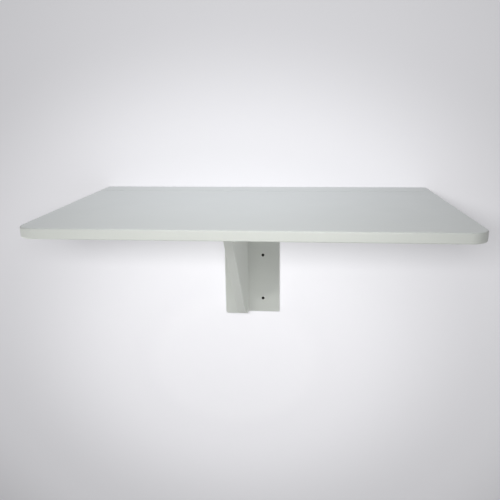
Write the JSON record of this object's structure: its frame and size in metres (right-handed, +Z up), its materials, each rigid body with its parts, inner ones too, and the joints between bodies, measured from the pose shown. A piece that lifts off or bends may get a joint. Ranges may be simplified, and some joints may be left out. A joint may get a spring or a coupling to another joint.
{
  "type": "wall mounted drop leaf table",
  "caption": "Wall mounted drop leaf table: a white board with rounded front corners, hinged to a fixed rear shelf and held level by a slanted wing that folds sideways to the wall.",
  "frame": {"origin": "on the wall plane, midway between the two screw holes of the wall plate, on the table's middle", "axes": "+X along the wall to the right, +Y into the wall, +Z up"},
  "size_m": [0.75, 0.45, 0.307],
  "materials": {
    "white_board": "white satin paint on board",
    "hinge_steel": "nickel plated",
    "brace_steel": "zinc plated",
    "zinc_screw": "zinc plated",
    "glide_nylon": "matte moulded"
  },
  "bodies": {
    "wall_frame": {"brace_screws": "zinc_screw", "hinge_stile": "white_board", "leaf_hinge_left_fixed_leaf": "hinge_steel", "leaf_hinge_left_pin": "hinge_steel", "leaf_hinge_middle_fixed_leaf": "hinge_steel", "leaf_hinge_middle_pin": "hinge_steel", "leaf_hinge_right_fixed_leaf": "hinge_steel", "leaf_hinge_right_pin": "hinge_steel", "leaf_hinge_shelf_screws": "zinc_screw", "rear_shelf": "white_board", "shelf_brace_1": "brace_steel", "shelf_brace_2": "brace_steel", "shelf_brace_3": "brace_steel", "shelf_brace_4": "brace_steel", "stile_screws": "zinc_screw", "wall_plate": "white_board", "wall_rail": "white_board", "wing_hinge_lower_fixed_leaf": "hinge_steel", "wing_hinge_lower_pin": "hinge_steel", "wing_hinge_stile_screws": "zinc_screw", "wing_hinge_upper_fixed_leaf": "hinge_steel", "wing_hinge_upper_pin": "hinge_steel"},
    "leaf": {"drop_leaf": "white_board", "leaf_hinge_leaf_screws": "zinc_screw", "leaf_hinge_left_moving_leaf": "hinge_steel", "leaf_hinge_middle_moving_leaf": "hinge_steel", "leaf_hinge_right_moving_leaf": "hinge_steel", "stop_block": "white_board", "stop_block_screws": "zinc_screw"},
    "wing": {"glide_pad": "glide_nylon", "glide_pad_screws": "zinc_screw", "support_wing": "white_board", "wing_hinge_lower_moving_leaf": "hinge_steel", "wing_hinge_upper_moving_leaf": "hinge_steel", "wing_hinge_wing_screws": "zinc_screw"}
  },
  "joints": [
    {"name": "leaf_lift", "type": "hinge", "parent": "wall_frame", "child": "leaf", "pos_m": [0, -0.062, 0.1957], "axis": [-1, 0, 0], "range_deg": [0, 2.4]},
    {"name": "wing_fold", "type": "hinge", "parent": "wall_frame", "child": "wing", "pos_m": [-0.0573, -0.0373, 0.0625], "axis": [0, 0, -1], "range_deg": [0, 90]}
  ]
}
